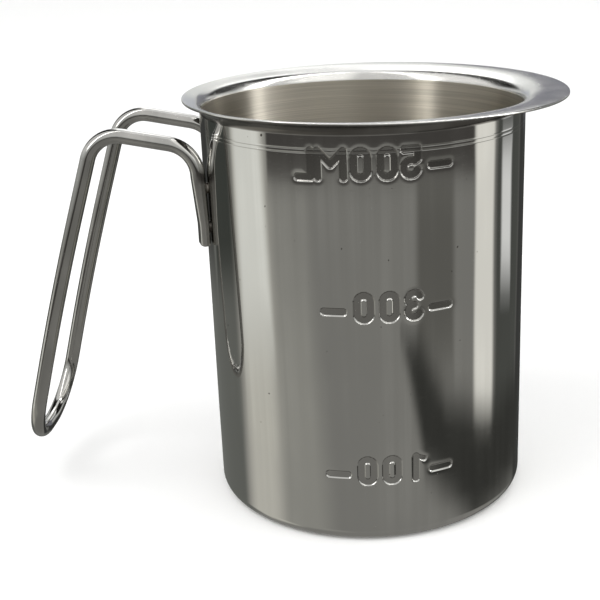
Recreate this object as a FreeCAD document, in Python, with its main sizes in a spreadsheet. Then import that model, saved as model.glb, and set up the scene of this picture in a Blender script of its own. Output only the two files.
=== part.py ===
"""Candle melting pot: a drawn steel cup with an off-centre pouring flange and a welded wire handle.

Frame: millimetres, +Z up. The origin is the centre of the flat base, on the surface it stands on.
The handle is on the -X side and the widest part of the flange, the pouring lip, is on the +X side.
"""
import FreeCAD, Part
import math
import os

import Sketcher

Vector = FreeCAD.Vector
UP = Vector(0, 0, 1)
os.makedirs("parts", exist_ok=True)
doc = FreeCAD.newDocument("CandleMeltingPot")

# ----------------------------------------------------------------------------------------------
# Driving dimensions, in millimetres and degrees
# ----------------------------------------------------------------------------------------------
DIMENSIONS = {
    "WallRadius": 41.0,          # outside of the cup
    "Sheet": 0.65,               # thickness of the drawn sheet
    "BaseCorner": 3.0,           # outside radius between base and wall
    "FlareStart": 101.56,        # height where the wall starts to turn out
    "FlareRadius": 2.5,          # tight radius between wall and flange
    "FlangeRadius": 14.45,       # the flange itself is arched with this radius ...
    "FlangePeak": 48.3,          # ... and is highest this far from the axis
    "LipReach": 53.0,            # flange radius before it is trimmed
    "TrimRadius": 48.4,          # the flange is trimmed to this circle ...
    "TrimShift": 3.35,           # ... whose centre lies this far towards the lip
    "EdgeRound": 0.25,           # polished rounding of the trimmed edge
    "MarkDepth": 0.4,            # how far the volume marks are pressed in
    "MarkStroke": 1.8,           # stroke width of the marks
    "MarkHeight": 7.8,           # height of a figure
    "MarkWidth": 4.9,            # width of a figure
    "DashLength": 6.4,
    "DashDrop": 1.0,             # the dashes sit this far below the figures' middle
    "WireRadius": 1.85,          # handle wire
    "WireSpread": 15.0,          # half the distance between the two runs of wire, at the legs
    "LegDepth": 2.6,             # thickness of the leg where it is pressed flat
    "LegGap": 0.15,              # clearance between leg and wall, filled by the welds
    "LegBottom": 69.5,
    "LegFlatTop": 75.1,          # below this height the leg has its flattened section
    "LegRoundBottom": 87.1,      # above this height the leg is round wire
    "LegEndRound": 0.8,          # rounding of the leg's cut end
    "InnerCornerHeight": 94.1,
    "OuterCornerReach": 65.1,
    "OuterCornerHeight": 98.6,
    "BendRadius": 8.0,           # the two upper bends
    "GripBow": 1.0,              # how far the middle of the grip is bowed out
    "BottomReach": 89.95,        # the corners that the two bottom bends round off
    "BottomHeight": 13.9,
    "BottomSpread": 15.9,        # half the distance between those corners
    "BottomBend": 14.0,
    "WeldUpper": 84.1,
    "WeldLower": 74.1,
    "WeldWidth": 1.25,           # half widths of a weld nugget
    "WeldTall": 1.6,
    "WeldProud": 0.5,
}

sheet = doc.addObject("Spreadsheet::Sheet", "Dimensions")
for row, (alias, value) in enumerate(DIMENSIONS.items(), start=1):
    sheet.set(f"A{row}", alias)
    sheet.set(f"B{row}", str(value))
    sheet.setAlias(f"B{row}", alias)
doc.recompute()


def size(alias):
    """Value of one driving dimension, read back from the sheet."""
    return float(getattr(sheet, alias))


def bind(thing, **expressions):
    """Bind properties of an object to the sheet."""
    for name, expression in expressions.items():
        thing.setExpression(name, expression)


def origin_plane(body, role):
    return next(feature for feature in body.Origin.OriginFeatures if feature.Role == role)


def body_sketch(body, name, role):
    sketch = body.newObject("Sketcher::SketchObject", name)
    sketch.AttachmentSupport = [(origin_plane(body, role), "")]
    sketch.MapMode = "FlatFace"
    return sketch


def driven(sketch, label, expression, *constraint):
    """Add one dimension to a sketch and bind it to the sheet."""
    index = sketch.addConstraint(Sketcher.Constraint(*constraint))
    sketch.renameConstraint(index, label)
    sketch.setExpression(f"Constraints.{label}", expression)


def polar(radius, degrees):
    angle = math.radians(degrees)
    return Vector(radius * math.cos(angle), radius * math.sin(angle), 0)


# ----------------------------------------------------------------------------------------------
# Cup: one closed profile turned about Z, then the flange trimmed to its eccentric outline
# ----------------------------------------------------------------------------------------------
START, END, CENTRE = 1, 2, 3
ORIGIN = (-1, 1)
VERTICAL_AXIS = -2


# The edges of the profile, in the order they are drawn.
(
    BASE, CORNER, WALL, FLARE, UNDER, EDGE,
    OVER, FLARE_IN, WALL_IN, CORNER_IN, FLOOR, AXIS,
) = range(12)


def cup_profile(body):
    """Half section of the cup in the XZ plane, from the base's centre out to the flange's edge."""
    wall = size("WallRadius")
    thick = size("Sheet")
    corner = size("BaseCorner")
    flare_z = size("FlareStart")
    flare = size("FlareRadius")
    arch = size("FlangeRadius")
    peak = size("FlangePeak")
    reach = size("LipReach")

    corner_centre = Vector(wall - corner, corner, 0)
    flare_centre = Vector(wall + flare, flare_z, 0)
    slope = math.degrees(math.asin((peak - flare_centre.x) / (arch - flare)))
    arch_centre = flare_centre + polar(arch - flare, slope - 90)
    tip = math.degrees(math.acos((reach - peak) / arch))

    def line(first, last):
        return Part.LineSegment(first, last)

    def arc(centre, radius, first, last):
        circle = Part.Circle(centre, UP, radius)
        return Part.ArcOfCircle(circle, math.radians(first), math.radians(last))

    sketch = body_sketch(body, "CupProfile", "XZ_Plane")
    outline = [
        line(Vector(0, 0, 0), Vector(wall - corner, 0, 0)),
        arc(corner_centre, corner, -90, 0),
        line(Vector(wall, corner, 0), Vector(wall, flare_z, 0)),
        arc(flare_centre, flare, 90 + slope, 180),
        arc(arch_centre, arch, tip, 90 + slope),
        line(arch_centre + polar(arch, tip), arch_centre + polar(arch + thick, tip)),
        arc(arch_centre, arch + thick, tip, 90 + slope),
        arc(flare_centre, flare + thick, 90 + slope, 180),
        line(Vector(wall - thick, flare_z, 0), Vector(wall - thick, corner, 0)),
        arc(corner_centre, corner - thick, -90, 0),
        line(Vector(wall - corner, thick, 0), Vector(0, thick, 0)),
        line(Vector(0, thick, 0), Vector(0, 0, 0)),
    ]
    sketch.addGeometry(outline, False)

    joints = [
        ("Coincident", *ORIGIN, BASE, START),
        ("Tangent", BASE, END, CORNER, START),
        ("Tangent", CORNER, END, WALL, START),
        ("Tangent", WALL, END, FLARE, END),
        ("Tangent", FLARE, START, UNDER, END),
        ("Coincident", UNDER, START, EDGE, START),
        ("Coincident", EDGE, END, OVER, START),
        ("Tangent", OVER, END, FLARE_IN, START),
        ("Tangent", FLARE_IN, END, WALL_IN, START),
        ("Tangent", WALL_IN, END, CORNER_IN, END),
        ("Tangent", CORNER_IN, START, FLOOR, START),
        ("Coincident", FLOOR, END, AXIS, START),
        ("Coincident", AXIS, END, *ORIGIN),
        ("Coincident", CORNER, CENTRE, CORNER_IN, CENTRE),
        ("Coincident", FLARE, CENTRE, FLARE_IN, CENTRE),
        ("Coincident", UNDER, CENTRE, OVER, CENTRE),
        ("PointOnObject", UNDER, CENTRE, EDGE),
        ("Horizontal", BASE),
        ("Vertical", WALL),
        ("PointOnObject", FLOOR, END, VERTICAL_AXIS),
    ]
    for joint in joints:
        sketch.addConstraint(Sketcher.Constraint(*joint))
    driven(sketch, "wall", "Dimensions.WallRadius", "DistanceX", *ORIGIN, WALL, START, wall)
    driven(sketch, "corner", "Dimensions.BaseCorner", "Radius", CORNER, corner)
    driven(
        sketch, "corner_in", "Dimensions.BaseCorner - Dimensions.Sheet",
        "Radius", CORNER_IN, corner - thick,
    )
    driven(sketch, "flare_z", "Dimensions.FlareStart", "DistanceY", *ORIGIN, WALL, END, flare_z)
    driven(sketch, "flare", "Dimensions.FlareRadius", "Radius", FLARE, flare)
    driven(
        sketch, "flare_in", "Dimensions.FlareRadius + Dimensions.Sheet",
        "Radius", FLARE_IN, flare + thick,
    )
    driven(sketch, "arch", "Dimensions.FlangeRadius", "Radius", UNDER, arch)
    driven(sketch, "peak", "Dimensions.FlangePeak", "DistanceX", *ORIGIN, UNDER, CENTRE, peak)
    driven(sketch, "reach", "Dimensions.LipReach", "DistanceX", *ORIGIN, UNDER, START, reach)
    return sketch


def on_trim_circle(point):
    distance = math.hypot(point.x - size("TrimShift"), point.y)
    return abs(distance - size("TrimRadius")) < 0.01


def make_cup():
    """The plain cup: revolved sheet, flange trimmed off-centre, trimmed edge rounded."""
    body = doc.addObject("PartDesign::Body", "Cup")
    profile = cup_profile(body)
    turn = body.newObject("PartDesign::Revolution", "CupTurned")
    turn.Profile = profile
    turn.ReferenceAxis = (profile, ["V_Axis"])
    turn.Angle = 360
    doc.recompute()
    full_volume = turn.Shape.Volume

    outline = body_sketch(body, "FlangeOutline", "XY_Plane")
    shift = Vector(size("TrimShift"), 0, 0)
    waste = size("LipReach") + 2 * size("TrimShift")
    outline.addGeometry(Part.Circle(shift, UP, size("TrimRadius")), False)
    outline.addGeometry(Part.Circle(shift, UP, waste), False)
    outline.addConstraint(Sketcher.Constraint("PointOnObject", 0, CENTRE, -1))
    outline.addConstraint(Sketcher.Constraint("Coincident", 0, CENTRE, 1, CENTRE))
    driven(outline, "shift", "Dimensions.TrimShift", "DistanceX", *ORIGIN, 0, CENTRE, shift.x)
    driven(outline, "trim", "Dimensions.TrimRadius", "Radius", 0, size("TrimRadius"))
    driven(outline, "waste", "Dimensions.LipReach + 2 * Dimensions.TrimShift", "Radius", 1, waste)

    trim = body.newObject("PartDesign::Pocket", "FlangeTrimmed")
    trim.Profile = outline
    trim.Type = "ThroughAll"
    trim.Reversed = True
    doc.recompute()
    if trim.Shape.Volume >= full_volume - 1:
        raise RuntimeError("the flange outline cut nothing")

    edges = [
        f"Edge{number}"
        for number, edge in enumerate(trim.Shape.Edges, start=1)
        if edge.Length > size("TrimRadius")
        and all(on_trim_circle(edge.valueAt(at)) for at in edge.ParameterRange)
    ]
    rounding = body.newObject("PartDesign::Fillet", "FlangeEdge")
    rounding.Base = (trim, edges)
    bind(rounding, Radius="Dimensions.EdgeRound")
    body.Tip = rounding
    doc.recompute()
    return body


# ----------------------------------------------------------------------------------------------
# Volume marks: figures pressed in from outside, so they stand proud inside and read from inside
# ----------------------------------------------------------------------------------------------
MARK_AZIMUTH = -87.7             # direction of the marks' reference line, degrees from +X
FLAG_WIDTH = 0.7                 # the flag of the 1: its width, reach and drop in stroke widths
FLAG_REACH = 1.45
FLAG_DROP = 0.55
FIVE_BOWL = 0.56                 # radius of the 5's bowl as a share of half the figure's height
M_SPREAD = 1.9                   # the M is this much wider than a figure

# The rows read from inside the cup. Each figure has its angle from the reference line.
ROWS = [
    (19.4, [("-", 25.0), ("1", 15.7), ("0", 7.4), ("0", -1.0), ("-", -11.0)]),
    (61.4, [("-", 25.0), ("3", 15.7), ("0", 7.4), ("0", -1.0), ("-", -11.0)]),
    (95.2, [("-", 25.0), ("5", 15.0), ("0", 7.4), ("0", -1.0), ("M", -10.5), ("L", -19.2)]),
]


def stroke(first, last, width):
    """Flat bar with square ends between two points."""
    along = (last - first).normalize()
    side = Vector(-along.y, along.x, 0) * (width / 2)
    corners = [first + side, first - side, last - side, last + side]
    return Part.Face(Part.makePolygon(corners + corners[:1]))


def band(centre, radius, first, last, width):
    """Part of a flat ring from the first angle anticlockwise to the last, in degrees."""
    outer = radius + width / 2
    inner = radius - width / 2
    middle = (first + last) / 2

    def arc(r, a, b):
        ends = (centre + polar(r, a), centre + polar(r, b))
        return Part.Arc(ends[0], centre + polar(r, middle), ends[1]).toShape()

    def radial(angle):
        inside = centre + polar(inner, angle)
        outside = centre + polar(outer, angle)
        return Part.LineSegment(inside, outside).toShape()

    edges = [arc(outer, first, last), radial(last), arc(inner, last, first), radial(first)]
    return Part.Face(Part.Wire(Part.__sortEdges__(edges)))


def figure_faces(figure):
    """Strokes of one figure as flat faces about its middle, mirrored as seen from outside."""
    width = size("MarkStroke")
    half_x = (size("MarkWidth") - width) / 2
    half_y = (size("MarkHeight") - width) / 2
    top = Vector(0, half_y + width / 2, 0)
    rise = Vector(0, half_y, 0)

    if figure == "-":
        half = size("DashLength") / 2
        drop = -size("DashDrop")
        return [stroke(Vector(-half, drop, 0), Vector(half, drop, 0), width)]
    if figure == "0":
        side = half_y - half_x
        straight = [stroke(Vector(x, -side, 0), Vector(x, side, 0), width) for x in (-half_x, half_x)]
        above = band(Vector(0, side, 0), half_x, 0, 180, width)
        below = band(Vector(0, -side, 0), half_x, 180, 360, width)
        return straight + [above, below]
    if figure == "1":
        stem = stroke(top * -1, top, width)
        drop = FLAG_DROP * width
        flag_end = Vector(FLAG_REACH * width, half_y - drop, 0)
        flag = stroke(top - Vector(0, drop, 0), flag_end, FLAG_WIDTH * width)
        return [stem, flag]
    if figure == "3":
        bowl = half_y / 2
        return [
            band(Vector(0, bowl, 0), bowl, 20, 270, width),
            band(Vector(0, -bowl, 0), bowl, 90, 340, width),
        ]
    if figure == "5":
        bowl = FIVE_BOWL * half_y
        bar_end = rise + Vector(half_x + width / 2, 0, 0)
        bar = stroke(rise - Vector(half_x, 0, 0), bar_end, width)
        neck = stroke(Vector(half_x, half_y, 0), Vector(half_x, 0, 0), width)
        return [bar, neck, band(Vector(0, bowl - half_y, 0), bowl, 60, 340, width)]
    if figure == "M":
        leg = M_SPREAD * half_x
        notch = Vector(0, 0, 0)
        legs = [stroke(Vector(x, -top.y, 0), Vector(x, top.y, 0), width) for x in (-leg, leg)]
        slopes = [stroke(Vector(x, half_y, 0), notch, width) for x in (-leg, leg)]
        return legs + slopes
    if figure == "L":
        stem = stroke(Vector(half_x, -top.y, 0), Vector(half_x, top.y, 0), width)
        foot = stroke(Vector(half_x, -half_y, 0), Vector(-half_x, -half_y, 0), width)
        return [stem, foot]
    raise ValueError(figure)


def figure_prism(figure, azimuth, height):
    """The figure's strokes as one radial prism through the wall."""
    depth = 6 * size("Sheet")
    outward = polar(1, azimuth)
    turn = FreeCAD.Rotation(UP.cross(outward), UP, outward, "ZXY")
    place = FreeCAD.Placement(outward * (size("WallRadius") - depth / 2) + UP * height, turn)
    prisms = [face.extrude(Vector(0, 0, depth)) for face in figure_faces(figure)]
    solid = prisms[0].fuse(prisms[1:]).removeSplitter() if len(prisms) > 1 else prisms[0]
    if solid.Volume < 1:
        raise RuntimeError(f"figure {figure} came out empty")
    solid.Placement = place
    return solid


def ring(outer, inner):
    tall = size("FlareStart")
    return Part.makeCylinder(outer, tall).cut(Part.makeCylinder(inner, tall))


def mark_bodies():
    """What the press leaves: the recess of each figure outside, and its ridge inside the cup."""
    wall = size("WallRadius")
    thick = size("Sheet")
    deep = size("MarkDepth")
    overlap = thick / 4
    recess_ring = ring(wall + thick, wall - deep)
    ridge_ring = ring(wall - thick + overlap, wall - thick - deep)

    recesses = []
    ridges = []
    for height, figures in ROWS:
        for name, turn in figures:
            prism = figure_prism(name, MARK_AZIMUTH + turn, height)
            recesses.append(prism.common(recess_ring))
            ridge = doc.addObject("Part::Feature", "MarkRidge")
            ridge.Shape = prism.common(ridge_ring)
            ridges.append(ridge)
    recess = doc.addObject("Part::Feature", "MarkRecesses")
    recess.Shape = Part.makeCompound(recesses)
    return recess, ridges


def make_pot():
    cup = make_cup()
    recess, ridges = mark_bodies()
    raised = doc.addObject("Part::MultiFuse", "CupWithRidges")
    raised.Shapes = [cup] + ridges
    pot = doc.addObject("Part::Cut", "PotBody")
    pot.Base = raised
    pot.Tool = recess
    pot.Label = "pot_body"
    doc.recompute()
    if pot.Shape.Volume >= raised.Shape.Volume - 1:
        raise RuntimeError("the marks cut nothing")
    return pot


# ----------------------------------------------------------------------------------------------
# Handle: one wire, bent into a loop, with both legs pressed flat against the wall
# ----------------------------------------------------------------------------------------------
NEAR, FAR = -1, 1                # the run of wire on the -Y side and the one on the +Y side
BOW_SHARE = 0.5                  # share of the grip's half length that the bow's arc takes up
SPLIT_LIFT = 0.9                 # the round section is split at this share of its radius


def leg_reach(depth):
    """Distance from Z along -X of a leg's centre line, when its section is this deep radially."""
    radial = size("WallRadius") + size("LegGap") + depth / 2
    return math.sqrt(radial ** 2 - size("WireSpread") ** 2)


def leg_turn(side):
    """Direction of the wall's normal at a leg, in degrees."""
    radial = size("WallRadius") + size("LegGap") + size("LegDepth") / 2
    lean = math.degrees(math.asin(size("WireSpread") / radial))
    return 180 - side * lean


def bent_run(points, radii):
    """Edges through the points: straight runs joined by arcs of the given radii."""
    edges = []
    here = points[0]
    for before, corner, after, radius in zip(points, points[1:], points[2:], radii):
        back = (before - corner).normalize()
        ahead = (after - corner).normalize()
        half = back.getAngle(ahead) / 2
        first = corner + back * (radius / math.tan(half))
        last = corner + ahead * (radius / math.tan(half))
        inward = (back + ahead).normalize()
        middle = corner + inward * (radius / math.sin(half) - radius)
        edges.append(Part.LineSegment(here, first).toShape())
        edges.append(Part.Arc(first, middle, last).toShape())
        here = last
    edges.append(Part.LineSegment(here, points[-1]).toShape())
    return edges


def wire_path():
    """Centre line of the round wire, from the near leg round the grip to the far leg."""
    spread = size("WireSpread")
    reach = leg_reach(2 * size("WireRadius"))
    corner = Vector(-size("OuterCornerReach"), spread, size("OuterCornerHeight"))
    bottom = Vector(-size("BottomReach"), size("BottomSpread"), size("BottomHeight"))
    grip = bottom - corner
    outward = Vector(grip.z, 0, -grip.x).normalize()
    bow = (corner + bottom) / 2 + outward * size("GripBow")
    far = [
        bottom,
        bow,
        corner,
        Vector(-reach, spread, size("InnerCornerHeight")),
        Vector(-reach, spread, size("LegRoundBottom")),
    ]
    near = [Vector(point.x, -point.y, point.z) for point in reversed(far)]

    half_grip = grip.Length / 2
    bow_turn = 2 * math.atan(size("GripBow") / half_grip)
    bow_radius = BOW_SHARE * half_grip / math.tan(bow_turn / 2)
    far_radii = [size("BottomBend"), bow_radius, size("BendRadius"), size("BendRadius")]

    path = doc.addObject("Part::Feature", "WirePath")
    path.Shape = Part.Wire(bent_run(near + far, far_radii[::-1] + far_radii))
    return path


def section(name, centre, turn, flat, depth):
    """Four-edged section: a slot whose flats face the wall, or a circle split at the same places."""
    radius = depth / 2
    if flat:
        lift = radius
        side = flat / 2
        tip = side + radius
    else:
        lift = SPLIT_LIFT * radius
        side = math.sqrt(radius ** 2 - lift ** 2)
        tip = radius

    def arc(first, x, y, last):
        return Part.Arc(first, Vector(x, y, 0), last).toShape()

    def face_side(first, x, last):
        if flat:
            return Part.LineSegment(first, last).toShape()
        return arc(first, x, 0, last)

    front_low = Vector(lift, -side, 0)
    front_high = Vector(lift, side, 0)
    back_high = Vector(-lift, side, 0)
    back_low = Vector(-lift, -side, 0)
    outline = [
        face_side(front_low, radius, front_high),
        arc(front_high, 0, tip, back_high),
        face_side(back_high, -radius, back_low),
        arc(back_low, 0, -tip, front_low),
    ]
    feature = doc.addObject("Part::Feature", name)
    feature.Shape = Part.Wire(outline)
    feature.Placement = FreeCAD.Placement(centre, FreeCAD.Rotation(UP, turn))
    return feature


def make_leg(side, name):
    """One pressed leg: flattened stretch with a rounded end, and the taper up to the round wire."""
    spread = side * size("WireSpread")
    round_size = 2 * size("WireRadius")
    depth = size("LegDepth")
    round_area = math.pi * size("WireRadius") ** 2
    flat = (round_area - math.pi * depth ** 2 / 4) / depth
    turn = leg_turn(side)

    low = Vector(-leg_reach(depth), spread, size("LegBottom"))
    high = Vector(-leg_reach(depth), spread, size("LegFlatTop"))
    top = Vector(-leg_reach(round_size), spread, size("LegRoundBottom"))
    low_section = section(f"{name}EndSection", low, turn, flat, depth)
    high_section = section(f"{name}FlatSection", high, turn, flat, depth)
    top_section = section(f"{name}RoundSection", top, turn, 0, round_size)

    straight = doc.addObject("Part::Extrusion", f"{name}Flat")
    straight.Base = low_section
    straight.DirMode = "Custom"
    straight.Dir = UP
    straight.Solid = True
    bind(straight, LengthFwd="Dimensions.LegFlatTop - Dimensions.LegBottom")
    doc.recompute()

    end_edges = [
        number
        for number, edge in enumerate(straight.Shape.Edges, start=1)
        if edge.BoundBox.ZMax < low.z + 0.01
    ]
    rounded = doc.addObject("Part::Fillet", f"{name}Rounded")
    rounded.Base = straight
    rounded.Edges = [(number, size("LegEndRound"), size("LegEndRound")) for number in end_edges]

    taper = doc.addObject("Part::Loft", f"{name}Taper")
    taper.Sections = [high_section, top_section]
    taper.Solid = True
    taper.Ruled = True
    doc.recompute()
    return [rounded, taper]


def make_handle():
    path = wire_path()
    start = path.Shape.Vertexes[0].Point
    profile = doc.addObject("Part::Circle", "WireSection")
    bind(profile, Radius="Dimensions.WireRadius")
    profile.Placement = FreeCAD.Placement(start, FreeCAD.Rotation())
    swept = doc.addObject("Part::Sweep", "WireSwept")
    swept.Sections = [profile]
    swept.Spine = (path, [f"Edge{number}" for number in range(1, len(path.Shape.Edges) + 1)])
    swept.Solid = True
    swept.Transition = "Transformed"
    doc.recompute()
    expected = math.pi * size("WireRadius") ** 2 * path.Shape.Length
    if abs(swept.Shape.Volume / expected - 1) > 0.01:
        raise RuntimeError("the swept wire's volume differs from its section times its length")

    handle = doc.addObject("Part::MultiFuse", "WireHandle")
    handle.Shapes = [swept] + make_leg(NEAR, "NearLeg") + make_leg(FAR, "FarLeg")
    handle.Label = "wire_handle"
    doc.recompute()
    return handle


# ----------------------------------------------------------------------------------------------
# Welds: nuggets that fill the gap between leg and wall and bulge out at both sides
# ----------------------------------------------------------------------------------------------
def make_weld(name, side, height_alias, handle):
    turn = leg_turn(side)
    blob = doc.addObject("Part::Ellipsoid", f"{name}_blob")
    bind(
        blob,
        Radius1="Dimensions.WeldProud",
        Radius2="Dimensions.WeldTall",
        Radius3="Dimensions.WeldWidth",
    )
    # Radius1 runs along the ellipsoid's own Z, Radius2 along X and Radius3 along Y.
    outward = polar(1, turn)
    axes = FreeCAD.Rotation(UP, UP.cross(outward), outward, "ZXY")
    centre = outward * (size("WallRadius") + size("LegGap") / 2) + UP * size(height_alias)
    blob.Placement = FreeCAD.Placement(centre, axes)

    cup_space = doc.addObject("Part::Cylinder", f"{name}_cup_space")
    bind(cup_space, Radius="Dimensions.WallRadius", Height="Dimensions.FlareStart")
    outside = doc.addObject("Part::Cut", f"{name}_outside")
    outside.Base = blob
    outside.Tool = cup_space
    weld = doc.addObject("Part::Cut", f"{name}_weld")
    weld.Base = outside
    weld.Tool = handle
    weld.Label = name
    doc.recompute()
    return weld


# ----------------------------------------------------------------------------------------------
# Build, check and write
# ----------------------------------------------------------------------------------------------
def main():
    pot = make_pot()
    handle = make_handle()
    nodes = [pot, handle]
    for side, place in ((NEAR, "near"), (FAR, "far")):
        for alias, level in (("WeldUpper", "upper"), ("WeldLower", "lower")):
            nodes.append(make_weld(f"weld_{place}_{level}", side, alias, handle))
    doc.recompute()

    for thing in doc.Objects:
        if "Invalid" in thing.State or "Error" in thing.State:
            raise RuntimeError(f"{thing.Name} is {thing.State}")
    for node in nodes:
        shape = node.Shape
        if shape.isNull() or not shape.isValid() or not shape.Solids:
            raise RuntimeError(f"{node.Label} has no valid shape")
        box = shape.BoundBox
        print(
            f"{node.Label}: {len(shape.Solids)} solid, {shape.Volume:.1f} mm3,"
            f" x {box.XMin:.2f}..{box.XMax:.2f}"
            f" y {box.YMin:.2f}..{box.YMax:.2f}"
            f" z {box.ZMin:.2f}..{box.ZMax:.2f}"
        )
        shape.exportStep(f"parts/{node.Label}.step")


main()
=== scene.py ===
"""Looks of the candle melting pot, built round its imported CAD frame.

Lengths are millimetres in the CAD's own frame until a mesh is written, angles are degrees.
The handle is on the -X side, the pouring lip on the +X side, and the volume marks face -Y.
"""
import math

import bpy
import numpy as np
from mathutils import Matrix, Vector, noise


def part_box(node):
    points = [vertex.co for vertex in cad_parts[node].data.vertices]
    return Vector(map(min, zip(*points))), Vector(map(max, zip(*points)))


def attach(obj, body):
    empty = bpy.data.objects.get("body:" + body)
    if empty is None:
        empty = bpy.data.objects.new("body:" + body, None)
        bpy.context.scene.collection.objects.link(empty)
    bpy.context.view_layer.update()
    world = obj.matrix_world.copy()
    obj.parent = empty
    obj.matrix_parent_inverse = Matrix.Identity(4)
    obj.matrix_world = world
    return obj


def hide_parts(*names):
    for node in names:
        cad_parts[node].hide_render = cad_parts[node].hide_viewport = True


MM = 0.001

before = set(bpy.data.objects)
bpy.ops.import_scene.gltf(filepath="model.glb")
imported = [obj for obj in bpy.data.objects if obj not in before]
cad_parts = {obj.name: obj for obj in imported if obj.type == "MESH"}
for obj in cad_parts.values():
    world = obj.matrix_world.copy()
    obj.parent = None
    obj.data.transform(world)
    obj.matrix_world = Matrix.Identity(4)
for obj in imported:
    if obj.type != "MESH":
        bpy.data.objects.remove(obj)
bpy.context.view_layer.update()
pot_low, pot_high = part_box("pot_body")

# ----------------------------------------------------------------------------------------------
# Sizes shared with the CAD part
# ----------------------------------------------------------------------------------------------
TRIM_RADIUS = pot_high.y / MM            # the flange is trimmed to this circle ...
TRIM_SHIFT = pot_high.x / MM - TRIM_RADIUS   # ... shifted this far towards the lip
WALL = 41.0
SHEET = 0.65
BASE_CORNER = 3.0
FLARE_START = 101.56
FLARE_RADIUS = 2.5               # tight radius between wall and flange
FLANGE_RADIUS = 14.45            # the arched flange, measured on its underside
FLANGE_PEAK = 48.3
EDGE_ROUND = 0.25

WIRE = 1.85
SPREAD = 15.0
LEG_DEPTH = 2.6
LEG_GAP = 0.15
LEG_BOTTOM = 69.5
LEG_FLAT_TOP = 75.1
LEG_ROUND_BOTTOM = 87.1
LEG_END_ROUND = 0.8
INNER_CORNER = 94.1
OUTER_CORNER = (65.1, 98.6)
BOTTOM_CORNER = (89.95, 13.9)
BOTTOM_SPREAD = 15.9
BEND = 8.0
BOTTOM_BEND = 14.0
GRIP_BOW = 1.0
WELD_HEIGHTS = {"upper": 84.1, "lower": 74.1}

MARK_AZIMUTH = -87.7
MARK_DEPTH = 0.26
MARK_STROKE = 1.8
MARK_HALF_X = 1.55               # half size of a figure's stroke centre lines
MARK_HALF_Y = 3.0
DASH_HALF = 2.3
DASH_DROP = 1.0
SLOPE_WIDTH = 0.34               # the pressed strokes have slopes this wide ...
HALO_DEPTH = 0.012               # ... and the sheet sinks a little all round them
HALO_WIDTH = 0.6
MARK_ROWS = [
    (19.4, [("-", 25.0), ("1", 15.7), ("0", 7.4), ("0", -1.0), ("-", -11.0)]),
    (61.4, [("-", 25.0), ("3", 15.7), ("0", 7.4), ("0", -1.0), ("-", -11.0)]),
    (95.2, [("-", 25.0), ("5", 15.0), ("0", 7.4), ("0", -1.0), ("M", -10.5), ("L", -19.2)]),
]
MARK_FIRST, MARK_LAST = -24.0, 30.5      # the marks' angular reach from their reference line
MARK_REACH = 5.1                         # and their reach above and below a row
RINGS = (98.6, 97.7)                     # fine pressed lines under the flange
RING_DEPTH = 0.018
RING_WIDTH = 0.16
WAVES = [                                # the wall's waviness: depth, waves round, phase, twist
    (0.030, 5, 0.0, 0.031),
    (0.012, 11, 1.3, -0.083),
    (0.002, 23, 0.6, 0.050),
]
WAVE_FADE_LOW = 20.0                     # the waves fade in over this much above the base ...
WAVE_FADE_HIGH = 12.0                    # ... and out over this much below the flange

CELL_OUTSIDE = 0.21                      # grid cells over the marks, in millimetres
CELL_INSIDE = 0.4
CELL_AROUND = 0.295                      # and in degrees
COARSE_COLUMNS = 84
BASE_RADII = (4.0, 14.0, 24.0, 31.0)
FLANGE_SHARES = (0.15, 0.3, 0.45, 0.6, 0.75, 0.9)
WIRE_SIDES = 28

WELD_OFF_WALL = 0.08                     # middle of a nugget, off the wall's face
WELD_HALF_DEPTH = 0.35
WELD_HALF_WIDTH = 1.15
WELD_HALF_HEIGHT = 1.45
WELD_LUMPS = 0.10

# The sheet's slope where the tight radius passes into the flange, and the arch's centre height.
FLARE_SLOPE = math.asin((FLANGE_PEAK - WALL - FLARE_RADIUS) / (FLANGE_RADIUS - FLARE_RADIUS))
ARCH_HEIGHT = FLARE_START - (FLANGE_RADIUS - FLARE_RADIUS) * math.cos(FLARE_SLOPE)


# ----------------------------------------------------------------------------------------------
# Mesh helpers
# ----------------------------------------------------------------------------------------------
def make_mesh(name, points, faces, materials, normals=None, indices=None):
    """A smooth-shaded object from points in millimetres."""
    mesh = bpy.data.meshes.new(name)
    mesh.from_pydata((np.asarray(points) * MM).tolist(), [], faces)
    for material in materials:
        mesh.materials.append(material)
    mesh.polygons.foreach_set("use_smooth", [True] * len(mesh.polygons))
    if indices is not None:
        mesh.polygons.foreach_set("material_index", indices)
    mesh.update()
    if normals is not None:
        mesh.normals_split_custom_set_from_vertices(np.asarray(normals).tolist())
    piece = bpy.data.objects.new(name, mesh)
    bpy.context.scene.collection.objects.link(piece)
    return piece


def unit(vectors):
    return vectors / np.linalg.norm(vectors, axis=-1, keepdims=True)


def ramp(low, high, value):
    """Smooth step from 0 at low to 1 at high."""
    share = np.clip((value - low) / (high - low), 0, 1)
    return share * share * (3 - 2 * share)


# ----------------------------------------------------------------------------------------------
# Volume marks: how deep the sheet is pressed in at an angle and height
# ----------------------------------------------------------------------------------------------
def to_segment(x, y, first, last):
    ax, ay = first
    bx, by = last
    share = ((x - ax) * (bx - ax) + (y - ay) * (by - ay)) / ((bx - ax) ** 2 + (by - ay) ** 2)
    share = np.clip(share, 0, 1)
    return np.hypot(x - ax - share * (bx - ax), y - ay - share * (by - ay))


def to_arc(x, y, centre_y, radius, first, last):
    """Distance to an arc about (0, centre_y), from the first angle anticlockwise to the last."""
    dy = y - centre_y
    angle = (np.degrees(np.arctan2(dy, x)) - first) % 360
    ends = [
        np.hypot(x - radius * math.cos(math.radians(end)), dy - radius * math.sin(math.radians(end)))
        for end in (first, last)
    ]
    on_arc = angle <= (last - first)
    return np.where(on_arc, np.abs(np.hypot(x, dy) - radius), np.minimum(*ends))


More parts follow.
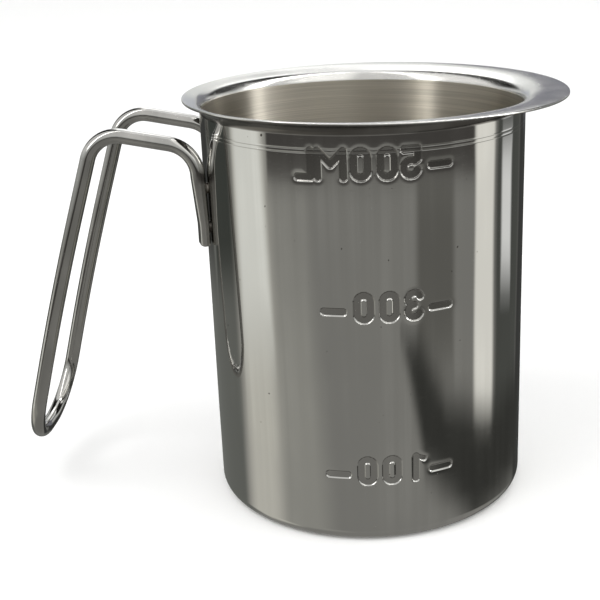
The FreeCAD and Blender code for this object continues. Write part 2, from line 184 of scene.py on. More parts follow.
def figure_distance(figure, x, y):
    """Signed distance to the edge of a figure's strokes, mirrored as seen from outside."""
    half_x, half_y, stroke = MARK_HALF_X, MARK_HALF_Y, MARK_STROKE / 2
    if figure == "-":
        return to_segment(x, y, (-DASH_HALF, -DASH_DROP), (DASH_HALF, -DASH_DROP)) - stroke
    if figure == "0":
        side = half_y - half_x
        return np.abs(to_segment(x, y, (0, -side), (0, side)) - half_x) - stroke
    if figure == "1":
        stem = to_segment(x, y, (0, -half_y), (0, half_y)) - stroke
        flag = to_segment(x, y, (0, half_y), (1.2 * stroke * 2, half_y - stroke)) - 0.7 * stroke
        return np.minimum(stem, flag)
    if figure == "3":
        bowl = half_y / 2
        upper = to_arc(x, y, bowl, bowl, 20, 270)
        lower = to_arc(x, y, -bowl, bowl, 90, 340)
        return np.minimum(upper, lower) - stroke
    if figure == "5":
        bowl = 0.56 * half_y
        bar = to_segment(x, y, (-half_x, half_y), (half_x, half_y))
        neck = to_segment(x, y, (half_x, half_y), (half_x, 0.2 * half_y))
        curve = to_arc(x, y, bowl - half_y, bowl, 60, 340)
        return np.minimum(np.minimum(bar, neck), curve) - stroke
    if figure == "M":
        leg = 1.9 * half_x
        lines = [to_segment(x, y, (side, -half_y), (side, half_y)) for side in (-leg, leg)]
        lines += [to_segment(x, y, (side, half_y), (0, 0)) for side in (-leg, leg)]
        return np.minimum.reduce(lines) - stroke
    stem = to_segment(x, y, (half_x, -half_y), (half_x, half_y))
    foot = to_segment(x, y, (half_x, -half_y), (-half_x, -half_y))
    return np.minimum(stem, foot) - stroke


def pressed(theta, z):
    """How far the wall is pushed in, in millimetres, at angles in degrees and heights."""
    wrapped = (theta - MARK_AZIMUTH + 180) % 360 - 180
    distance = np.full(np.shape(wrapped), 9.0)
    for height, figures in MARK_ROWS:
        for figure, turn in figures:
            x = np.radians(wrapped - turn) * WALL
            near = (np.abs(x) < 7) & (np.abs(z - height) < 7)
            if near.any():
                distance[near] = np.minimum(
                    distance[near], figure_distance(figure, x[near], z[near] - height)
                )
    stroke = MARK_DEPTH * (1 - ramp(-SLOPE_WIDTH / 2, SLOPE_WIDTH / 2, distance))
    halo = HALO_DEPTH * np.exp(-(np.maximum(distance, 0) / HALO_WIDTH) ** 2)
    depth = stroke + halo
    turn = np.radians(theta)
    waves = sum(deep * np.sin(count * turn + twist * z + phase) for deep, count, phase, twist in WAVES)
    fade = ramp(BASE_CORNER, BASE_CORNER + WAVE_FADE_LOW, z)
    fade = fade * ramp(FLARE_START, FLARE_START - WAVE_FADE_HIGH, z)
    return depth + waves * fade


def ringed(z):
    """Depth of the fine turned lines, which are on the outside only."""
    return sum(RING_DEPTH * np.exp(-((z - ring) / RING_WIDTH) ** 2) for ring in RINGS)


def pressed_with_slope(theta, z):
    """The depth, and its slope along the wall round the axis and up."""
    step = 0.02
    turn = math.degrees(step / WALL)
    depth = pressed(theta, z)
    around = (pressed(theta + turn, z) - pressed(theta - turn, z)) / (2 * step)
    up = (pressed(theta, z + step) - pressed(theta, z - step)) / (2 * step)
    return depth, around, up


# ----------------------------------------------------------------------------------------------
# The pot: a grid of columns round the axis and stations along the sheet's profile
# ----------------------------------------------------------------------------------------------
OUTSIDE, FLANGE, INSIDE = range(3)


def wall_heights(cell):
    """Heights of the wall's stations, close together over the marks and the fine rings."""
    heights = [BASE_CORNER, 5.5, 8.5, 11.5]
    for row, _ in MARK_ROWS:
        heights += list(np.arange(row - MARK_REACH, row + MARK_REACH, cell))
    for first, last in ((28.0, 57.0), (70.0, 91.0)):
        heights += list(np.linspace(first, last, 6))
    for ring in RINGS:
        heights += [ring + share * RING_WIDTH for share in (-2, -1.2, -0.6, 0, 0.6, 1.2, 2)]
    heights += [100.6, FLARE_START]
    heights = sorted(height for height in heights if height <= FLARE_START)
    kept = [heights[0]]
    for height in heights[1:]:
        if height - kept[-1] > 0.05:
            kept.append(height)
    return kept


def profile():
    """Stations (share along the flange, r, z, normal r, normal z, region) round the sheet.

    On the flange r and z are only what the edge's rounding adds to the arched sheet.
    """
    corner_r = WALL - BASE_CORNER
    flare_r = WALL + FLARE_RADIUS
    stations = []

    def add(share, r, z, nr, nz, region):
        stations.append((share, r, z, nr, nz, region))

    def add_arc(r, z, radius, angles, sign, region):
        for angle in angles:
            c, s = math.cos(angle), math.sin(angle)
            add(0, r + radius * c, z + radius * s, sign * c, sign * s, region)

    quarter = math.pi / 2
    for r in BASE_RADII:
        add(0, r, 0, 0, -1, OUTSIDE)
    add_arc(corner_r, BASE_CORNER, BASE_CORNER, np.linspace(-quarter, 0, 15)[:-1], 1, OUTSIDE)
    for z in wall_heights(CELL_OUTSIDE):
        add(0, WALL, z, 1, 0, OUTSIDE)
    flare_angles = np.linspace(math.pi, quarter + FLARE_SLOPE, 12)
    add_arc(flare_r, FLARE_START, FLARE_RADIUS, flare_angles[1:], -1, OUTSIDE)

    for share in FLANGE_SHARES:
        add(share, 0, 0, 0, -1, OUTSIDE)
    for angle in np.linspace(-quarter, 0, 6):
        c, s = math.cos(angle), math.sin(angle)
        add(1, EDGE_ROUND * (c - 1), EDGE_ROUND * (s + 1), c, s, OUTSIDE)
    for angle in np.linspace(0, quarter, 6):
        c, s = math.cos(angle), math.sin(angle)
        add(1, EDGE_ROUND * (c - 1), EDGE_ROUND * (s - 1), c, s, FLANGE)
    for share in FLANGE_SHARES[::-1]:
        add(share, 0, 0, 0, 1, FLANGE)
    add_arc(flare_r, FLARE_START, FLARE_RADIUS + SHEET, flare_angles[::-1][:-1], 1, FLANGE)
    for z in wall_heights(CELL_INSIDE)[::-1]:
        add(0, WALL - SHEET, z, -1, 0, INSIDE)
    inner_angles = np.linspace(0, -quarter, 12)[1:]
    add_arc(corner_r, BASE_CORNER, BASE_CORNER - SHEET, inner_angles, -1, INSIDE)
    for r in BASE_RADII[::-1]:
        add(0, r, SHEET, 0, 1, INSIDE)
    return np.array(stations)


def columns():
    """Angles of the grid's columns, close together over the marks."""
    fine = np.arange(MARK_FIRST, MARK_LAST, CELL_AROUND)
    coarse = np.linspace(MARK_LAST, MARK_FIRST + 360, COARSE_COLUMNS)[:-1]
    return MARK_AZIMUTH + np.concatenate([fine, coarse])


def shade_painted_in_marks(z, depth, up):
    """Painted shade in the pressed strokes: on their floors, their upper slopes and, in the top row, all
    over.
    """
    middle_row, top_row = ramp(30, 50, z), ramp(75, 90, z)
    on_floor = ramp(0.15 * MARK_DEPTH, MARK_DEPTH, depth) * (0.3 + 0.2 * middle_row + 0.2 * top_row)
    on_upper_slope = 0.9 * ramp(0.1, 0.7, -up)
    on_lower_slope = 0.8 * ramp(0.05, 0.4, up) * top_row
    return np.maximum.reduce([on_floor, on_upper_slope, on_lower_slope])


def make_pot(materials):
    theta = columns()
    turn = np.radians(theta)
    edge = TRIM_SHIFT * np.cos(turn) + np.sqrt(TRIM_RADIUS ** 2 - (TRIM_SHIFT * np.sin(turn)) ** 2)
    share, r0, z0, nr, nz, region = (column[:, None] for column in profile().T)

    on_top = region == FLANGE
    start = WALL + FLARE_RADIUS - (FLARE_RADIUS + on_top * SHEET) * math.sin(FLARE_SLOPE)
    arch = FLANGE_RADIUS + on_top * SHEET
    flange_r = start + share * (edge - start) + r0
    across = flange_r - FLANGE_PEAK
    rise = np.sqrt(arch ** 2 - across ** 2)
    flanged = share > 0
    r = np.where(flanged, flange_r, r0 + 0 * turn)
    z = np.where(flanged, ARCH_HEIGHT + rise + z0, z0)
    nr = np.where(flanged, nr + nz * across / arch, nr)
    nz = np.where(flanged, nz * rise / arch, nz)

    on_wall = (np.abs(np.abs(nr) - 1) < 1e-9) & (share == 0)
    depth, around, up = pressed_with_slope(theta[None, :] + 0 * z, z)
    # Painted shade in the pressed marks, on the outside of the wall only.
    shaded = np.where(on_wall & (nr > 0), shade_painted_in_marks(z, depth, up), 0)
    # Painted shade under the flange: the outside of the tight radius is made dark.
    shade_under_flange_mask = (region == OUTSIDE) & (z > FLARE_START) & (r > WALL)
    shaded = np.where(shade_under_flange_mask, ramp(FLARE_START - 0.2, FLARE_START + 0.4, z), shaded)
    step = 0.01
    outside = nr > 0
    depth = depth + np.where(outside, ringed(z), 0)
    up = up + np.where(outside, (ringed(z + step) - ringed(z - step)) / (2 * step), 0)
    depth, around, up = (np.where(on_wall, value, 0) for value in (depth, around, up))
    r = r - depth

    radial = np.stack([np.cos(turn), np.sin(turn), 0 * turn], -1)[None]
    tangent = np.stack([-np.sin(turn), np.cos(turn), 0 * turn], -1)[None]
    axis = np.array([0.0, 0.0, 1.0])
    facing = np.where(nr < 0, -1.0, 1.0)[..., None]
    normals = nr[..., None] * radial + nz[..., None] * axis
    normals = unit(normals + facing * (around[..., None] * tangent + up[..., None] * axis))
    points = r[..., None] * radial + z[..., None] * axis

    rows, count = r.shape
    index = np.arange(rows * count).reshape(rows, count)
    after = np.roll(index, -1, axis=1)
    quads = np.stack([index[:-1], after[:-1], after[1:], index[1:]], -1).reshape(-1, 4)
    regions = np.repeat(region[1:, 0], count)
    bottom, floor = rows * count, rows * count + 1
    fans = [[bottom, after[0, j], index[0, j]] for j in range(count)]
    fans += [[floor, index[-1, j], after[-1, j]] for j in range(count)]
    points = np.vstack([points.reshape(-1, 3), [[0, 0, 0], [0, 0, SHEET]]])
    normals = np.vstack([normals.reshape(-1, 3), [[0, 0, -1], [0, 0, 1]]])
    indices = np.concatenate([regions, [OUTSIDE] * count, [INSIDE] * count]).astype(int)
    faces = quads.tolist() + fans
    shell = make_mesh("pot_shell", points, faces, materials, normals, indices.tolist())
    # This point attribute carries the painted shade to the polished steel's colour.
    painted_shade = shell.data.attributes.new("painted_shade", "FLOAT", "POINT")
    painted_shade.data.foreach_set("value", np.concatenate([shaded.ravel(), [0, 0]]).astype(np.float32))
    return shell


# ----------------------------------------------------------------------------------------------
# The handle: a wire with round section, pressed flat at its two legs
# ----------------------------------------------------------------------------------------------
def rounded_line(points, radii, step):
    """Points along straight runs joined by arcs of the given radii."""
    line = [points[0]]
    for before, corner, after, radius in zip(points, points[1:], points[2:], radii):
        back, ahead = unit(before - corner), unit(after - corner)
        half = math.acos(float(np.clip(back @ ahead, -1, 1))) / 2
        centre = corner + unit(back + ahead) * (radius / math.sin(half))
        first = corner + back * (radius / math.tan(half)) - centre
        last = corner + ahead * (radius / math.tan(half)) - centre
        angle = math.pi - 2 * half
        for share in np.linspace(0, 1, max(3, math.ceil(radius * angle / step))):
            weights = math.sin((1 - share) * angle), math.sin(share * angle)
            line.append(centre + (weights[0] * first + weights[1] * last) / math.sin(angle))
    line.append(points[-1])
    return line


def leg_reach(depth):
    return math.sqrt((WALL + LEG_GAP + depth / 2) ** 2 - SPREAD ** 2)


def wire_line():
    """Centre line of the round wire from the near leg to the far leg."""
    corner = np.array([-OUTER_CORNER[0], SPREAD, OUTER_CORNER[1]])
    bottom = np.array([-BOTTOM_CORNER[0], BOTTOM_SPREAD, BOTTOM_CORNER[1]])
    grip = bottom - corner
    outward = unit(np.array([grip[2], 0, -grip[0]]))
    bow = (corner + bottom) / 2 + outward * GRIP_BOW
    reach = leg_reach(2 * WIRE)
    far = [
        bottom,
        bow,
        corner,
        np.array([-reach, SPREAD, INNER_CORNER]),
        np.array([-reach, SPREAD, LEG_ROUND_BOTTOM]),
    ]
    near = [point * (1, -1, 1) for point in far[::-1]]
    half_grip = np.linalg.norm(grip) / 2
    bow_radius = 0.5 * half_grip / math.tan(math.atan(GRIP_BOW / half_grip))
    radii = [BOTTOM_BEND, bow_radius, BEND, BEND]
    return rounded_line(near + far, radii[::-1] + radii, 1.0)


def leg_rings():
    """Rings (height, centre reach, half depth, half flat, end tilt) of a leg, from its cut end up."""
    half = LEG_DEPTH / 2
    flat = (math.pi * WIRE ** 2 - math.pi * half ** 2) / (2 * half) / 2
    rings = []
    for tilt in np.linspace(math.pi / 2, 0, 6):
        inset = LEG_END_ROUND * (1 - math.cos(tilt))
        height = LEG_BOTTOM + LEG_END_ROUND * (1 - math.sin(tilt))
        rings.append((height, leg_reach(LEG_DEPTH), half - inset, flat, tilt))
    for height in np.linspace(LEG_BOTTOM + 3, LEG_FLAT_TOP, 4):
        rings.append((height, leg_reach(LEG_DEPTH), half, flat, 0))
    for share in np.linspace(0, 1, 8)[1:-1]:
        height = LEG_FLAT_TOP + share * (LEG_ROUND_BOTTOM - LEG_FLAT_TOP)
        reach = leg_reach(LEG_DEPTH + share * (2 * WIRE - LEG_DEPTH))
        rings.append((height, reach, half + share * (WIRE - half), flat * (1 - share), 0))
    return rings


def make_handle(material):
    near_leg = [
        (np.array([-reach, -SPREAD, height]), half, flat, tilt)
        for height, reach, half, flat, tilt in leg_rings()
    ]
    rings = near_leg + [(point, WIRE, 0.0, 0.0) for point in wire_line()]
    rings += [(point * (1, -1, 1), half, flat, -tilt) for point, half, flat, tilt in near_leg[::-1]]
    centres = np.array([ring[0] for ring in rings])
    ahead = unit(np.gradient(centres, axis=0))
    legs = len(near_leg)
    ahead[:legs] = (0, 0, 1)
    ahead[-legs:] = (0, 0, -1)

    def wall_normal(side):
        lean = math.asin(SPREAD / (WALL + LEG_GAP + LEG_DEPTH / 2))
        return np.array([-math.cos(lean), side * math.sin(lean), 0])

    sides = [wall_normal(-1)]
    for here, there in zip(ahead, ahead[1:]):
        axis = np.cross(here, there)
        carried = Vector(sides[-1])
        if np.linalg.norm(axis) > 1e-9:
            angle = math.atan2(np.linalg.norm(axis), float(here @ there))
            carried = Matrix.Rotation(angle, 3, Vector(axis)) @ carried
        side = np.array(carried)
        sides.append(unit(side - (side @ there) * there))
    wanted, got = wall_normal(1), sides[-1]
    miss = math.atan2(float(np.cross(got, wanted) @ ahead[-1]), float(got @ wanted))
    run = np.concatenate([[0], np.cumsum(np.linalg.norm(np.diff(centres, axis=0), axis=1))])
    first, last = run[legs], run[-legs - 1]
    twist = miss * np.clip((run - first) / (last - first), 0, 1)

    phi = (np.arange(WIRE_SIDES) + 0.5) * 2 * math.pi / WIRE_SIDES
    points, normals = [], []
    for (centre, half, flat, tilt), way, side, turned in zip(rings, ahead, sides, twist):
        side = np.array(Matrix.Rotation(turned, 3, Vector(way)) @ Vector(side))
        across = np.cross(way, side)
        out = np.cos(phi)[:, None] * side + np.sin(phi)[:, None] * across
        shift = np.sign(np.sin(phi))[:, None] * flat * across
        points.append(centre + half * out + shift)
        normals.append(math.cos(tilt) * out - math.sin(tilt) * way)
    count = len(rings)
    index = np.arange(count * WIRE_SIDES).reshape(count, WIRE_SIDES)
    after = np.roll(index, -1, axis=1)
    faces = np.stack([index[:-1], after[:-1], after[1:], index[1:]], -1).reshape(-1, 4).tolist()
    faces.append(index[0][::-1].tolist())
    faces.append(index[-1].tolist())
    return make_mesh("handle_wire", np.vstack(points), faces, [material], np.vstack(normals))


# ----------------------------------------------------------------------------------------------
# Welds: lumpy nuggets between leg and wall
# ----------------------------------------------------------------------------------------------
def make_weld(name, side, height, material):
    lean = math.asin(SPREAD / (WALL + LEG_GAP + LEG_DEPTH / 2))
    outward = np.array([-math.cos(lean), side * math.sin(lean), 0])
    across = np.array([-outward[1], outward[0], 0])
    rings, around = 13, 22
    points = []
    for polar in np.linspace(0.02, math.pi - 0.02, rings):
        for turn in np.linspace(0, 2 * math.pi, around, endpoint=False):
            a = math.sin(polar) * math.cos(turn)
            b = math.sin(polar) * math.sin(turn)
            c = math.cos(polar)
            lump = 1 + WELD_LUMPS * noise.noise(Vector((2.3 * a + height, 2.3 * b, 2.3 * c + side)))
            place = outward * (WALL + WELD_OFF_WALL + WELD_HALF_DEPTH * a * lump)
            place = place + across * WELD_HALF_WIDTH * b * lump
            points.append(place + np.array([0, 0, height + WELD_HALF_HEIGHT * c * lump]))
    index = np.arange(rings * around).reshape(rings, around)
    after = np.roll(index, -1, axis=1)
    faces = np.stack([index[:-1], index[1:], after[1:], after[:-1]], -1).reshape(-1, 4).tolist()
    faces += [index[0].tolist(), index[-1][::-1].tolist()]
    return make_mesh(name, points, faces, [material])


# ----------------------------------------------------------------------------------------------
# Materials
# ----------------------------------------------------------------------------------------------
class Shader:
    """A principled material with short calls for the nodes used here."""

    def __init__(self, name):
        self.material = bpy.data.materials.new(name)
        self.material.use_nodes = True
        self.tree = self.material.node_tree
        self.bsdf = self.tree.nodes["Principled BSDF"]
        self.place = self.node("ShaderNodeTexCoord").outputs["Object"]

    def node(self, kind, **settings):
        node = self.tree.nodes.new(kind)
        for name, value in settings.items():
            setattr(node, name, value)
        return node

    def link(self, source, socket):
        self.tree.links.new(source, socket)

    def set(self, **values):
        for name, value in values.items():
            self.bsdf.inputs[name.replace("_", " ")].default_value = value

    def stretched(self, scale, turn=(0, 0, 0)):
        mapping = self.node("ShaderNodeMapping")
        mapping.inputs["Scale"].default_value = scale
        mapping.inputs["Rotation"].default_value = turn
        self.link(self.place, mapping.inputs["Vector"])
        return mapping.outputs["Vector"]

    def noise(self, scale, detail=3.0, turn=(0, 0, 0)):
        """Noise with its own scale along each axis, as a factor."""
        node = self.node("ShaderNodeTexNoise")
        node.inputs["Scale"].default_value = 1.0
        node.inputs["Detail"].default_value = detail
        self.link(self.stretched(scale, turn), node.inputs["Vector"])
        return node.outputs["Fac"]

    def band(self, value, low, high, to_low=0.0, to_high=1.0):
        """Maps a value from one range to another, clamped, with a smooth step."""
        node = self.node("ShaderNodeMapRange", interpolation_type="SMOOTHSTEP")
        for name, number in zip(
            ("From Min", "From Max", "To Min", "To Max"), (low, high, to_low, to_high)
        ):
            node.inputs[name].default_value = number
        self.link(value, node.inputs["Value"])
        return node.outputs["Result"]

    def math(self, operation, first, second):
        node = self.node("ShaderNodeMath", operation=operation)
        for socket, value in zip(node.inputs, (first, second)):
            if isinstance(value, (int, float)):
                socket.default_value = value
            else:
                self.link(value, socket)
        return node.outputs["Value"]

    def mix(self, factor, low, high):
        node = self.node("ShaderNodeMix", data_type="RGBA")
        self.link(factor, node.inputs["Factor"])
        for socket, value in ((node.inputs[6], low), (node.inputs[7], high)):
            if isinstance(value, tuple):
                socket.default_value = (*value, 1)
            else:
                self.link(value, socket)
        return node.outputs[2]

    def bump(self, height, strength, distance):
        node = self.node("ShaderNodeBump")
        node.inputs["Strength"].default_value = strength
        node.inputs["Distance"].default_value = distance
        self.link(height, node.inputs["Height"])
        previous = self.bsdf.inputs["Normal"].links
        if previous:
            self.link(previous[0].from_socket, node.inputs["Normal"])
        self.link(node.outputs["Normal"], self.bsdf.inputs["Normal"])


def polished_steel():
    """Mirror-polished wall: faint turning lines, wiping scratches, a few pits, soft smears, and painted
    shade in the marks and under the flange.
    """
    shader = Shader("polished_steel")
    shader.set(Metallic=1.0)
    smears = shader.noise((35, 35, 22), 4.0)
    lines = shader.noise((60, 60, 5200), 2.0)
    scratches = shader.noise((420, 420, 3600), 2.0, (0.5, 0.2, 0.3))
    pits = shader.noise((900, 900, 900), 1.0)
    drawn = shader.noise((330, 330, 7), 3.0, (0.2, 0.7, 0.1))
    pale = shader.mix(shader.band(drawn, 0.35, 0.65), (0.63, 0.625, 0.60), (0.70, 0.695, 0.67))
    grey = shader.mix(shader.band(smears, 0.35, 0.7), (0.60, 0.595, 0.575), pale)
    pitted = shader.band(pits, 0.80, 0.83)
    pitted_grey = shader.mix(pitted, grey, (0.10, 0.09, 0.08))
    # Painted shade: the point attribute from make_pot darkens the base colour in the pressed marks and
    # under the flange, broken up by the smears, and also roughens those places a little.
    painted_shade = shader.node("ShaderNodeAttribute", attribute_name="painted_shade").outputs["Fac"]
    shaded = shader.math("MULTIPLY", painted_shade, shader.band(smears, 0.25, 0.6, 0.6, 0.95))
    shader.link(shader.mix(shaded, pitted_grey, (0.12, 0.11, 0.10)), shader.bsdf.inputs["Base Color"])
    worn = shader.band(smears, 0.3, 0.75, 0.035, 0.065)
    scratched = shader.band(scratches, 0.62, 0.75, 0.0, 0.05)
    dulled = shader.math("MULTIPLY", painted_shade, 0.12)
    rough = shader.math("ADD", worn, scratched)
    shader.link(shader.math("ADD", rough, dulled), shader.bsdf.inputs["Roughness"])
    shader.bump(lines, 0.03, 0.00001)
    shader.bump(scratches, 0.03, 0.00001)
    return shader.material


def flange_steel():
    """Rolled flange: half polished, with small handling marks."""
    shader = Shader("flange_steel")
    shader.set(Metallic=1.0)
    smears = shader.noise((60, 60, 60), 4.0)
    scratches = shader.noise((900, 250, 900), 3.0, (0, 0, 0.6))
    grey = shader.mix(shader.band(smears, 0.3, 0.7), (0.62, 0.615, 0.60), (0.71, 0.70, 0.68))
    shader.link(grey, shader.bsdf.inputs["Base Color"])
    worn = shader.band(smears, 0.3, 0.7, 0.16, 0.24)
    scratched = shader.band(scratches, 0.6, 0.75, 0.0, 0.08)
    shader.link(shader.math("ADD", worn, scratched), shader.bsdf.inputs["Roughness"])
    shader.bump(scratches, 0.10, 0.00003)
    return shader.material


def satin_steel():
    """Inside of the cup: satin, with fine lines running round it."""
    shader = Shader("satin_steel")
    shader.set(Metallic=1.0, Anisotropic=0.95, Anisotropic_Rotation=0.25)
    lines = shader.noise((25, 25, 4200), 3.0)
    coarse = shader.noise((12, 12, 700), 2.0)
    smears = shader.noise((50, 50, 18), 3.0)
    warm = shader.mix(shader.band(coarse, 0.3, 0.7), (0.49, 0.46, 0.395), (0.58, 0.545, 0.47))
    fine = shader.mix(shader.band(lines, 0.35, 0.65), (0.44, 0.41, 0.355), warm)
    shader.link(fine, shader.bsdf.inputs["Base Color"])
    shader.link(shader.band(smears, 0.3, 0.7, 0.34, 0.40), shader.bsdf.inputs["Roughness"])
    tangent = shader.node("ShaderNodeTangent", direction_type="RADIAL", axis="Z")
    shader.link(tangent.outputs["Tangent"], shader.bsdf.inputs["Tangent"])
    shader.bump(lines, 0.15, 0.00002)
    shader.bump(coarse, 0.08, 0.00005)
    return shader.material


def wire_steel():
    """Bright drawn wire with light scuffs."""
    shader = Shader("wire_steel")
    shader.set(Metallic=1.0)
    smears = shader.noise((120, 120, 60), 4.0)
    scratches = shader.noise((1500, 1500, 260), 3.0, (0.15, 0.3, 0))
    grey = shader.mix(shader.band(smears, 0.3, 0.7), (0.43, 0.425, 0.41), (0.54, 0.53, 0.51))
    shader.link(grey, shader.bsdf.inputs["Base Color"])
    worn = shader.band(smears, 0.3, 0.7, 0.05, 0.12)
    scratched = shader.band(scratches, 0.6, 0.75, 0.0, 0.10)
    shader.link(shader.math("ADD", worn, scratched), shader.bsdf.inputs["Roughness"])
    shader.bump(scratches, 0.25, 0.00004)
    return shader.material


def weld_steel():
    """Weld nugget: duller, with a straw-coloured heat tint."""
    shader = Shader("weld_steel")
    shader.set(Metallic=1.0)
    tint = shader.noise((260, 260, 260), 3.0)
    grain = shader.noise((1600, 1600, 1600), 2.0)
    colour = shader.mix(shader.band(tint, 0.35, 0.65), (0.22, 0.19, 0.16), (0.36, 0.34, 0.32))
    shader.link(colour, shader.bsdf.inputs["Base Color"])
    shader.link(shader.band(grain, 0.3, 0.7, 0.28, 0.42), shader.bsdf.inputs["Roughness"])
    shader.bump(grain, 0.4, 0.0001)
    return shader.material


# ----------------------------------------------------------------------------------------------
# Camera
# ----------------------------------------------------------------------------------------------
CAMERA_AZIMUTH = math.radians(2.33)      # the camera's turn from the -Y direction
CAMERA_BACK = 292.96
CAMERA_UP = 151.06
CAMERA_PITCH = 0.3345
CAMERA_YAW = 0.0008
CAMERA_ROLL = -0.0235
CAMERA_LENS = 69.49
CAMERA_SHIFT = -0.11


def make_camera():
    around_z = Matrix.Rotation(CAMERA_AZIMUTH, 4, "Z")
    camera_place = around_z @ Vector((0, -CAMERA_BACK, CAMERA_UP))
    data = bpy.data.cameras.new("camera")
    data.lens = CAMERA_LENS
    data.sensor_width = 36.0
    data.shift_x = CAMERA_SHIFT
    data.clip_start = 0.01
    data.clip_end = 50
    camera = bpy.data.objects.new("camera", data)
    bpy.context.scene.collection.objects.link(camera)
    tilt = Matrix.Rotation(math.radians(90) - CAMERA_PITCH, 4, "X")
    turn = around_z @ Matrix.Rotation(CAMERA_YAW, 4, "Z")
    roll = Matrix.Rotation(CAMERA_ROLL, 4, "Z")
    camera.matrix_world = Matrix.Translation(camera_place * MM) @ turn @ tilt @ roll
    bpy.context.scene.camera = camera


# ----------------------------------------------------------------------------------------------
# Studio that only reflections see: a plain grey dome with soft lights and dark flags round the
# pot. It is fixed in the world and neither shows nor lights the floor.
# ----------------------------------------------------------------------------------------------
STEEL_TONE = np.array([0.63, 0.625, 0.60])


def shown(*srgb):
    """Emission that looks like this 0-255 colour once mirrored in the steel."""
    value = np.array(srgb) / 255
    linear = np.where(value <= 0.04045, value / 12.92, ((value + 0.055) / 1.055) ** 2.4)
    return linear / STEEL_TONE


def polygon_cover(corners, across, up, soft):
    """1 inside a polygon and 0 outside, with an edge this soft."""
    corners = np.array(corners, float)
    distance = np.full(across.shape, 1e9)
    inside = np.zeros(across.shape, bool)
    for (x0, y0), (x1, y1) in zip(corners, np.roll(corners, -1, axis=0)):
        distance = np.minimum(distance, to_segment(across, up, (x0, y0), (x1, y1)))
        crosses = (y0 > up) != (y1 > up)
        slope = (x1 - x0) / (y1 - y0) if y1 != y0 else 0.0
        inside ^= crosses & (across < x0 + (up - y0) * slope)
    signed = np.where(inside, distance, -distance)
    return ramp(-soft, soft, signed)


def glow_material():
    """Plain emission in the dome's own colours."""
    material = bpy.data.materials.new("studio_glow")
    material.use_nodes = True
    material.cycles.emission_sampling = "NONE"
    tree = material.node_tree
    tree.nodes.clear()
    colour = tree.nodes.new("ShaderNodeAttribute")
    colour.attribute_name = "glow"
    emission = tree.nodes.new("ShaderNodeEmission")
    output = tree.nodes.new("ShaderNodeOutputMaterial")
    tree.links.new(colour.outputs["Color"], emission.inputs["Color"])
    tree.links.new(emission.outputs[0], output.inputs["Surface"])
    return material


# Surroundings by elevation, and patches by (azimuth from -Y towards +X, elevation), in degrees.
DOME_TONES = [
    (-90, (112, 111, 106)), (-65, (114, 113, 108)), (-48, (116, 115, 110)), (-30, (114, 113, 108)),
    (-12, (112, 111, 106)), (-4, (118, 117, 112)), (6, (176, 177, 172)), (20, (200, 201, 196)),
    (45, (206, 206, 202)), (90, (226, 226, 222)),
]
# Plain soft lights and dark flags round the pot, in the order they are laid over each other.
DOME_AREAS = [
    # below eye level: what the wall mirrors, from the left to the right
    ([(-180, -45), (-180, -5), (-106, -5), (-106, -45)], (90, 91, 86), 5),
    ([(-180, -16), (-180, -5), (-140, -5), (-140, -16)], (50, 50, 48), 3),
    ([(-134, -17), (-134, -5), (-101, -5), (-101, -17)], (54, 56, 52), 2),
    ([(-76, -48), (-76, -13), (-40, -16), (-16, -48)], (132, 131, 124), 9),
    ([(-101, -48), (-101, -5), (-72, -5), (-66, -48)], (172, 170, 160), 9),
    ([(-99, -20), (-99, -5), (-74, -5), (-70, -20)], (200, 200, 192), 4),
    ([(38, -22), (38, -11), (66, -11), (66, -22)], (86, 85, 80), 3),
    ([(85, -27), (85, -5), (105, -5), (105, -27)], (206, 204, 195), 2),
    ([(108, -26), (108, -5), (144, -5), (144, -26)], (66, 67, 63), 3),
    ([(115, -17), (115, -10), (129, -10), (129, -17)], (198, 198, 194), 2),
    ([(144, -48), (144, -5), (180, -5), (180, -48)], (50, 50, 48), 4),
    ([(26, -20), (44, -27), (88, -30), (150, -27.5), (156, -22), (100, -24), (60, -23.5), (38, -20)],
     (46, 46, 43), 1.5),
    ([(-67, -11.5), (-67, -5), (84, -5), (84, -11.5)], (60, 58, 55), 1),
    # above it: tall lights and dark gaps that streak the inside of the cup
    ([(-156, 14), (-156, 62), (-116, 84), (-116, 14)], (24, 24, 22), 4),
    ([(-110, 12), (-110, 84), (-58, 84), (-58, 12)], (208, 207, 202), 4),
    ([(-56, 12), (-56, 84), (-46, 84), (-46, 12)], (470, 467, 456), 2),
    ([(-44, 12), (-44, 84), (8, 84), (8, 12)], (192, 191, 186), 3),
    ([(12, 12), (12, 84), (58, 84), (58, 12)], (240, 239, 232), 4),
    ([(60, 12), (60, 84), (84, 84), (84, 12)], (190, 189, 184), 3),
    ([(85, 12), (85, 84), (96, 84), (96, 12)], (620, 617, 605), 2),
    ([(98, 12), (98, 84), (112, 84), (112, 12)], (100, 99, 96), 2),
    ([(156, 14), (156, 62), (112, 84), (112, 14)], (24, 24, 22), 4),
    # what the flange mirrors from behind
    ([(-176, 30), (-176, 58), (-158, 58), (-158, 30)], (330, 330, 324), 5),
    ([(158, 34), (158, 56), (170, 56), (170, 34)], (300, 300, 294), 5),
    ([(156, -8), (156, 22), (178.5, 20), (178.5, -8)], (108, 108, 112), 2),
    ([(-178, -8), (-178, 12), (-160, 12), (-160, -8)], (150, 152, 156), 1.2),
]
DOME_RADIUS = 4000.0
DOME_COLUMNS, DOME_ROWS = 541, 181


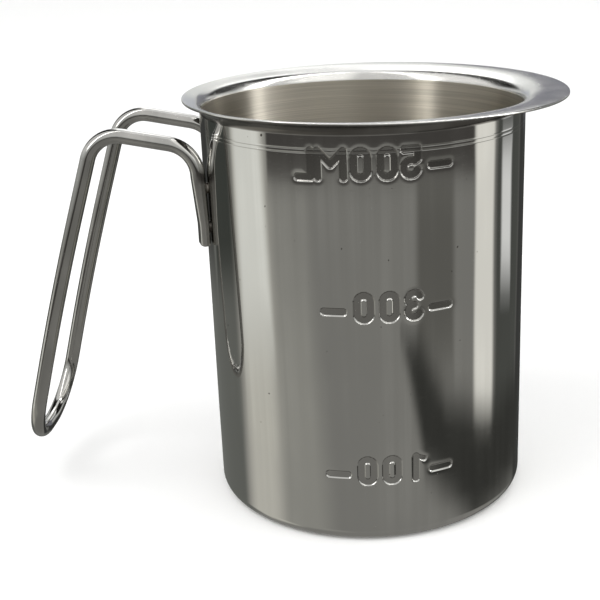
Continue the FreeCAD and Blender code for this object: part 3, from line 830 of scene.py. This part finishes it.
def make_dome():
    azimuth, elevation = np.meshgrid(
        np.linspace(-180, 180, DOME_COLUMNS), np.linspace(-90, 90, DOME_ROWS)
    )
    around, up = np.radians(azimuth - 90), np.radians(elevation)
    points = np.stack([np.cos(up) * np.cos(around), np.cos(up) * np.sin(around), np.sin(up)], -1)
    heights = [height for height, _ in DOME_TONES]
    tones = np.array([shown(*tone) for _, tone in DOME_TONES])
    colour = np.stack([np.interp(elevation, heights, tones[:, k]) for k in range(3)], -1)
    for outline, tone, soft in DOME_AREAS:
        cover = polygon_cover(outline, azimuth, elevation, soft)[..., None]
        colour = colour * (1 - cover) + shown(*tone) * cover

    rows, count = azimuth.shape
    index = np.arange(rows * count).reshape(rows, count)
    faces = np.stack([index[:-1, :-1], index[:-1, 1:], index[1:, 1:], index[1:, :-1]], -1)
    dome = make_mesh(
        "studio_dome",
        points.reshape(-1, 3) * DOME_RADIUS,
        faces.reshape(-1, 4).tolist(),
        [glow_material()],
    )
    rgba = np.concatenate([colour, np.ones((rows, count, 1))], -1)
    glow = dome.data.attributes.new("glow", "FLOAT_COLOR", "POINT")
    glow.data.foreach_set("color", rgba.astype(np.float32).ravel())
    dome.visible_camera = False
    dome.visible_diffuse = False
    dome.visible_shadow = False
    dome.visible_transmission = False


# ----------------------------------------------------------------------------------------------
# Floor and light
# ----------------------------------------------------------------------------------------------
FLOOR_HALF = 6000.0
WORLD_STRENGTH = 1.0
LIGHTS = [                               # name, place, diameter, watts
    ("key", (-700, -500, 1300), 900, 7),
    ("fill", (900, -300, 1100), 1100, 4),
]


def make_floor():
    shader = Shader("pale_floor")
    shader.set(Base_Color=(0.93, 0.93, 0.925, 1), Roughness=0.8)
    shader.bsdf.inputs["Specular IOR Level"].default_value = 0.1
    half = FLOOR_HALF
    corners = [(-half, -half, 0), (half, -half, 0), (half, half, 0), (-half, half, 0)]
    floor = make_mesh("floor", corners, [(0, 1, 2, 3)], [shader.material])
    floor.visible_glossy = False


def make_lights():
    world = bpy.data.worlds.new("studio")
    bpy.context.scene.world = world
    world.use_nodes = True
    background = world.node_tree.nodes["Background"]
    background.inputs["Color"].default_value = (1.0, 1.0, 1.0, 1)
    background.inputs["Strength"].default_value = WORLD_STRENGTH
    for name, place, size, power in LIGHTS:
        data = bpy.data.lights.new(name, "AREA")
        data.shape = "DISK"
        data.size = size * MM
        data.energy = power
        light = bpy.data.objects.new(name, data)
        bpy.context.scene.collection.objects.link(light)
        light.location = Vector(place) * MM
        light.rotation_euler = (-light.location).to_track_quat("-Z", "Y").to_euler()
        light.visible_glossy = False


# ----------------------------------------------------------------------------------------------
# Put it together
# ----------------------------------------------------------------------------------------------
def adopt(piece, slot, *nodes):
    """The piece stands for CAD nodes and moves with the one body there is."""
    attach(piece, "root")
    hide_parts(*nodes)


bpy.context.scene.view_settings.view_transform = "Standard"
make_camera()
adopt(make_pot([polished_steel(), flange_steel(), satin_steel()]), "pot_steel", "pot_body")
adopt(make_handle(wire_steel()), "wire_steel", "wire_handle")
weld_material = weld_steel()
for side, place in ((-1, "near"), (1, "far")):
    for level, height in WELD_HEIGHTS.items():
        weld = make_weld(f"nugget_{place}_{level}", side, height, weld_material)
        adopt(weld, "weld_steel", f"weld_{place}_{level}")
make_dome()
make_floor()
make_lights()
